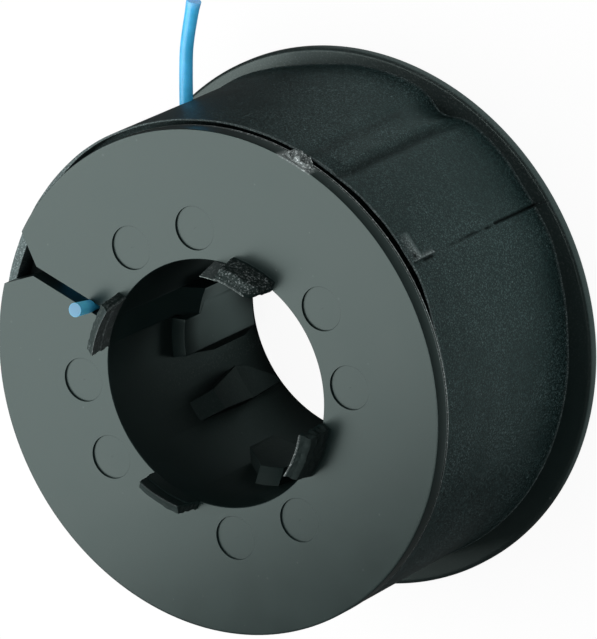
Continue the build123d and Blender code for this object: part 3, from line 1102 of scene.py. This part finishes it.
# Painted shade along the fold
FOLD_SHADE = 0.22
SEAM_ANGLE = 237.4
SEAM_WANDER = 0.2
SEAM_HALF = 0.32
SEAM_FADE = (28.0, 14.0)
SEAM_WHOLE = 12
SEAM_DEPTH = 0.35
FLAKE_FREE = 237.4
FLAKE_HINGE = 244.0
FLAKE_CLIFF = 0.2
FLAKE_LOW = (27.2, 0.8)
FLAKE_HIGH = (32.6, 0.5)
FLAKE_MIDDLE = 31.5
FLAKE_HALF = 1.4
FLAKE_CURL = 0.75
FLAKE_RISE = 0.75
HOLLOW_ANGLE = 238.4
HOLLOW_HEIGHT = 32.1
THREAD_ROUTE = ((35.8, 237.4), (36.6, 237.2), (37.3, 236.8), (38.0, 236.7))
THREAD_HEIGHT = 1.86
THREAD_RADIUS = 0.11
THREAD_DARK = 0.7
THREAD_FROM = 37
# Shares of the band's rows and the shares of its height that they reach
ROW_SHARES = ((0, 0), (0.05, 0.03), (0.55, 0.78), (0.94, 0.993), (1, 1))
CLOSE_FROM = 225.0
CLOSE_SPAN = 60.0


def spread_angle(share):
    """An angle for a share of the columns, half of them where creases show."""
    if share < 0.5:
        return CLOSE_FROM + CLOSE_SPAN * share / 0.5
    return CLOSE_FROM + CLOSE_SPAN + (360 - CLOSE_SPAN) * (share - 0.5) / 0.5


def spread_height(share):
    """A share of the height for a share of the rows, closer at the edges."""
    for (low, low_height), (high, high_height) in zip(ROW_SHARES, ROW_SHARES[1:]):
        if share <= high:
            break
    return low_height + (high_height - low_height) * (share - low) / (high - low)


def crease_wander(height):
    """How far the crease strays sideways at a height, in degrees."""
    return CREASE_WANDER * noise_along(height * 0.16, 4.2)


def crease_height(angle, height):
    """How far the folded band stands up beside its crease, in millimetres."""
    wander = crease_wander(height)
    past = near_angle(angle, CREASE_ANGLE + wander)
    roll = clamp((past + CREASE_LEAD) / CREASE_ROLL)
    rise = CREASE_RISE * roll * roll * (3 - 2 * roll) * clamp(1 - past / CREASE_FADE)
    rise -= CREASE_GROOVE * bell(past + 0.6, 1.3)
    fold = bell(near_angle(angle, FOLD_ANGLE + 2 * wander), 1.1)
    rise -= FOLD_DENT * fold * rising(height, *FOLD_SPAN)
    return rise * rising(height, *CREASE_FOOT) * falling(height, *CREASE_TOP)


def crease_shadow(angle, height):
    """How much shade is painted in the creases, from 0 to 1."""
    wander = crease_wander(height)
    deep = CREASE_SHADE * bell(near_angle(angle, CREASE_ANGLE - 0.5 + wander), 1.1)
    low = FOLD_SHADE * bell(near_angle(angle, FOLD_ANGLE - 1.2 + 2 * wander), 1.5)
    return max(deep * rising(height, 4, 5), low * rising(height, 9, 5))


def seam_share(angle, height):
    """1 in the line of the band's seam, 0 away from it."""
    across = near_angle(angle, SEAM_ANGLE + SEAM_WANDER * noise_along(height * 0.25, 8.1))
    broken = clamp(0.75 + 1.4 * noise_along(height * 0.9, 1.3)) if height > SEAM_WHOLE else 1.0
    return bell(across, SEAM_HALF) * falling(height, *SEAM_FADE) * broken


def flake_share(angle, height):
    """How far the torn corner of the band is lifted at a point, from 0 to 1."""
    past = near_angle(angle, FLAKE_FREE)
    if past < -FLAKE_CLIFF:
        return 0.0
    strip = clamp(1 - abs(height - FLAKE_MIDDLE) / FLAKE_HALF) ** 0.6
    strip *= clamp(1 - past / (FLAKE_HINGE - FLAKE_FREE)) ** 0.5
    curl = bell(past, FLAKE_CURL) * rising(height, *FLAKE_LOW) * falling(height, *FLAKE_HIGH)
    return clamp((past + FLAKE_CLIFF) / FLAKE_CLIFF) * max(strip, curl)


def flake_shadow(angle, height):
    """1 where shade is painted in the hollows under the torn corner, 0 away from it."""
    hole = bell(near_angle(angle, HOLLOW_ANGLE), 0.75) * bell(height - HOLLOW_HEIGHT, 0.3)
    under = bell(near_angle(angle, FLAKE_FREE - 0.55), 0.25) * rising(height, 27.6, 0.5)
    return max(hole, under * falling(height, 30.6, 0.5))


def band_column(angle):
    """The band's section at an angle, up its outside and down its inside."""
    top = round_table(FRONT_HEIGHTS, angle) + FRONT_WAVE * noise_along(angle * 0.25, 2.6)
    foot = round_table(FOOT_RADII, angle) - FOOT_FLARE
    front = round_table(FRONT_RADII, angle)
    dip = VALLEY_DEPTH * bell(near_angle(angle, VALLEY_ANGLE), VALLEY_WIDTH)
    section = []
    for row in range(BAND_ROWS + 1):
        height = BAND_LOW + (top - BAND_LOW) * spread_height(row / BAND_ROWS)
        radius = foot + (front - foot) * (height - BAND_LOW) / (top - BAND_LOW)
        radius += FOOT_FLARE * exp(-(height - BAND_LOW) / FOOT_REACH)
        radius -= dip * bell(height - BAND_LOW, VALLEY_REACH)
        radius += crease_height(angle, height)
        radius -= SEAM_DEPTH * seam_share(angle, height)
        radius += FLAKE_RISE * flake_share(angle, height)
        radius += SKIN_WAVE * noise.noise(polar(3, angle, height * 0.05))
        over = rising(height, top - LIP_ROUND, LIP_ROUND)
        section.append((radius - LIP_ROUND * (1 - sqrt(1 - over ** 2)), height))
    inside = front - BAND_WALL - BAND_LIP * bell(near_angle(angle, SLOT_TURN), BAND_LIP_REACH)
    under = BAND_SHOULDER - SHADE_SHEET_WALL
    # The shoulder folds in over the winding's outer turns: a dark sheet that stands for the shade on the
    # winding's top
    section += [(inside, top - 0.05), (inside, BAND_SHOULDER), (SHADE_SHEET_RADIUS, BAND_SHOULDER)]
    section += [(SHADE_SHEET_RADIUS, under), (BAND_INSIDE, under), (BAND_INSIDE, BAND_LOW), section[0]]
    return [polar(radius * MM, angle, height * MM) for radius, height in section]


def band_dark(point):
    """How dark the band is: its dark thread and seam, and painted shade inside and in the hollows and
    creases.
    """
    angle, radius, height = angle_of(point), point.xy.length / MM, point.z / MM
    if height < BAND_LOW + 0.3 and radius > THREAD_FROM:
        return THREAD_DARK
    if height < BAND_SHOULDER + 0.1 and radius < round_table(FRONT_RADII, angle) - 1:
        return INSIDE_SHADE
    return max(seam_share(angle, height), flake_shadow(angle, height), crease_shadow(angle, height))


def band_highlight(point):
    """How much highlight is painted on the band: front edge, foot and torn corner."""
    angle, height = angle_of(point), point.z / MM
    if point.xy.length / MM < round_table(FRONT_RADII, angle) - 1.5:
        return 0.0
    edge = EDGE_HIGHLIGHT * clamp((height - round_table(FRONT_HEIGHTS, angle) + 0.3) / 0.15)
    foot = FOOT_HIGHLIGHT * falling(height, BAND_LOW + 0.5, 0.3)
    return max(edge, foot, flake_share(angle, height))


class SPOOL_OT_band(bpy.types.Operator):
    """Model the band wrapped round the winding, with its valley, crease, seam and lifted corner"""

    bl_idname = "trimmer_spool.band"
    bl_label = "Model the band"

    def execute(self, context):
        deselect()
        columns = [band_column(spread_angle(i / BAND_STEPS)) for i in range(BAND_STEPS)]
        rows = len(columns[0]) - 1
        bpy.ops.mesh.primitive_grid_add(
            x_subdivisions=BAND_STEPS, y_subdivisions=rows, size=1, location=(0, 0, 0)
        )
        obj = named("line_band_wrap")
        for point in obj.data.vertices:
            column = round((point.co.x + 0.5) * BAND_STEPS) % BAND_STEPS
            row = round((point.co.y + 0.5) * rows)
            point.co = columns[column][row]
        weld(obj)
        route = [(*polar(radius, angle, THREAD_HEIGHT), 1.0) for radius, angle in THREAD_ROUTE]
        joined([obj, line_tube("seam_thread", route, THREAD_RADIUS * MM)])
        write_marks(obj, {"seam_and_shade": band_dark, "pale": band_highlight})
        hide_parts("line_band")
        finish_piece(obj, band_material(context.scene.band_sizes.band_colour), BAND_SHARP)
        return {"FINISHED"}


# The studio

# Right, down and forward in the picture, and the way in which the front face mirrors the camera
CAMERA_AXES = ((-0.431, -0.725, -0.538), (-0.902, 0.346, 0.257), (0, 0.596, -0.803), (0, 0.596, 0.803))
FACE_OFFSET = (-11.24 * MM, 8.8 * MM)
MODEL_TURN = -37.8
KEY_DISTANCE = 0.15
KEY_SIZE = (0.085, 0.22)
KEY_SHIFT = (0.018, -0.05)
FILL_SIZE = (0.05, 0.3)
FILL_SHIFT = (0.075, 0.0)
FLOOR_COLOUR = (0.9, 0.9, 0.9, 1)
FLOOR_GLOW = 0.93
FLOOR_TINT = (0.8, 1.0, 0.98)
NEAR_SIDE = 238.0
SIDE_SPAN = (14 * MM, 55 * MM)
NEAR_GLOW = 1.25
FAR_GLOW = 0.03
GLOW_FADE = (54 * MM, 62 * MM)
BORE_FADE = (17 * MM, 19 * MM)
BORE_GLOW = 0.75
BORE_GLOW_FADE = (1.6 * MM, 4.2 * MM)
BORE_GLOW_STRETCH = 0.4
BORE_GLOW_PLACE = (4 * BORE_GLOW_STRETCH * MM, 7.2 * MM, 0)


def white_for_camera(tree, lit, mirrored):
    """White where the camera sees a lit shader, and a glow where skins mirror it."""
    path = tree.nodes.new("ShaderNodeLightPath").outputs
    glossy = path["Is Glossy Ray"]
    seen = math_node(tree, "ADD", path["Is Camera Ray"], path["Is Transmission Ray"], clamped=True)
    either = math_node(tree, "ADD", seen, glossy, clamped=True)
    tint = blend_colour(tree, glossy, (1, 1, 1), FLOOR_TINT)
    strength = math_node(tree, "MAXIMUM", seen, times(tree, glossy, mirrored))
    glow = node(tree, "ShaderNodeEmission", Color=tint, Strength=strength)
    mix = tree.nodes.new("ShaderNodeMixShader")
    for socket, value in zip(mix.inputs, (times(tree, either, FLOOR_GLOW), lit, glow.outputs[0])):
        feed(tree, socket, value)
    return mix.outputs[0]


def mirrored_floor(tree, at):
    """How bright skins mirror the floor: most near the camera and under the bore."""
    along = vector_node(tree, "DOT_PRODUCT", at, polar(1, NEAR_SIDE))["Value"]
    side = node(tree, "ShaderNodeMapRange", Value=along, To_Min=FAR_GLOW, To_Max=NEAR_GLOW)
    feed_all(tree, side, From_Min=SIDE_SPAN[0], From_Max=SIDE_SPAN[1])
    bore = near_point(tree, at, (0, 0, 0), *BORE_FADE)
    close = near_point(tree, at, (0, 0, 0), *GLOW_FADE)
    ringed = times(tree, math_node(tree, "SUBTRACT", 1.0, bore), close)
    outside = times(tree, ringed, side.outputs["Result"])
    squeezed = vector_node(tree, "MULTIPLY", at, (BORE_GLOW_STRETCH, 1, 1))["Vector"]
    under = near_point(tree, squeezed, BORE_GLOW_PLACE, *BORE_GLOW_FADE)
    return times_plus(tree, under, BORE_GLOW, outside)


def placed(name, data, place, *axes):
    """A lamp or camera at a place, with its three axes."""
    obj = bpy.data.objects.new(name, data)
    obj.matrix_world = Matrix.Translation(place) @ Matrix(axes).transposed().to_4x4()
    bpy.context.collection.objects.link(obj)
    return obj


def area_light(name, place, target, across, size, power):
    """A soft lamp turned to a point, its first side along a direction."""
    data = bpy.data.lights.new(name, "AREA")
    data.shape = "RECTANGLE"
    data.size, data.size_y = size
    data.energy = power
    back = (place - target).normalized()
    side = (across - back * across.dot(back)).normalized()
    placed(name, data, place, side, back.cross(side), back)


class SPOOL_OT_stage(bpy.types.Operator):
    """Set the floor, the light and the camera"""

    bl_idname = "trimmer_spool.stage"
    bl_label = "Set the stage"

    def execute(self, context):
        scene = context.scene
        studio = scene.studio_settings
        deselect()
        bpy.ops.mesh.primitive_plane_add(size=6, location=(0, 0, 0))
        floor = named("floor")
        material, tree, shader, at = start_material("pale_floor")
        feed_all(tree, shader, Base_Color=FLOOR_COLOUR, Roughness=0.9, Specular_IOR_Level=0.1)
        surface = white_for_camera(tree, shader.outputs[0], mirrored_floor(tree, at))
        feed_all(tree, tree.nodes["Material Output"], Surface=surface)
        floor.data.materials.append(material)

        world = scene.world or bpy.data.worlds.new("studio")
        scene.world = world
        world.use_nodes = True
        tree = world.node_tree
        path = tree.nodes.new("ShaderNodeLightPath").outputs
        mirrored = studio.mirrored - studio.ambient
        plain = times_plus(tree, path["Is Glossy Ray"], mirrored, studio.ambient)
        seen = times_plus(tree, path["Is Camera Ray"], 1 - studio.ambient, plain)
        feed_all(tree, tree.nodes["Background"], Color=(1, 1, 1, 1), Strength=seen)

        turned = Matrix.Rotation(radians(MODEL_TURN), 3, "Z")
        axes = (turned @ Vector(axis).normalized() for axis in CAMERA_AXES)
        right, down, forward, mirror = axes
        target = Vector((0, 0, scene.spool_sizes.face_height))
        across, along = turned @ Vector((1, 0, 0)), turned @ Vector((0, 1, 0))
        for name, shift, size, power in (
            ("key", KEY_SHIFT, KEY_SIZE, studio.key_power),
            ("fill", FILL_SHIFT, FILL_SIZE, studio.fill_power),
        ):
            aim = target + across * shift[0] + along * shift[1]
            area_light(name, aim + mirror * KEY_DISTANCE, aim, across, size, power)

        data = bpy.data.cameras.new("photo_camera")
        data.lens = studio.lens
        data.sensor_width = 36.0
        data.sensor_fit = "HORIZONTAL"
        data.clip_end = 20.0
        eye = target - right * FACE_OFFSET[0] - down * FACE_OFFSET[1] - forward * studio.camera_distance
        scene.camera = placed("photo_camera", data, eye, right, -down, -forward)
        scene.view_settings.view_transform = "Standard"
        return {"FINISHED"}


class SPOOL_PT_panel(bpy.types.Panel):
    """The spool's sizes and making steps"""

    bl_idname = "SPOOL_PT_panel"
    bl_label = "Trimmer line spool"
    bl_space_type = "VIEW_3D"
    bl_region_type = "UI"
    bl_category = "Spool"

    def draw(self, context):
        for group, words in PROPERTY_HOLDERS:
            box = self.layout.box()
            box.label(text=words)
            holder = getattr(context.scene, group)
            for key in holder.__annotations__:
                box.prop(holder, key)
        for step in STEPS:
            self.layout.operator(step.bl_idname)


PROPERTY_HOLDERS = (
    ("spool_sizes", "Moulding"),
    ("line_sizes", "Cutting line"),
    ("band_sizes", "Band"),
    ("studio_settings", "Studio"),
)
GROUPS = (SpoolSizes, LineSizes, BandSizes, StudioSettings)
STEPS = (SPOOL_OT_moulding, SPOOL_OT_line, SPOOL_OT_band, SPOOL_OT_stage)


def register():
    for made in GROUPS + STEPS + (SPOOL_PT_panel,):
        bpy.utils.register_class(made)
    for (name, words), kind in zip(PROPERTY_HOLDERS, GROUPS):
        setattr(bpy.types.Scene, name, bpy.props.PointerProperty(type=kind, name=words))


def unregister():
    for name, words in PROPERTY_HOLDERS:
        delattr(bpy.types.Scene, name)
    for made in reversed(GROUPS + STEPS + (SPOOL_PT_panel,)):
        bpy.utils.unregister_class(made)


def main():
    register()
    grain_group()
    bpy.ops.trimmer_spool.moulding()
    bpy.ops.trimmer_spool.line()
    bpy.ops.trimmer_spool.band()
    bpy.ops.trimmer_spool.stage()


if __name__ == "__main__":
    main()
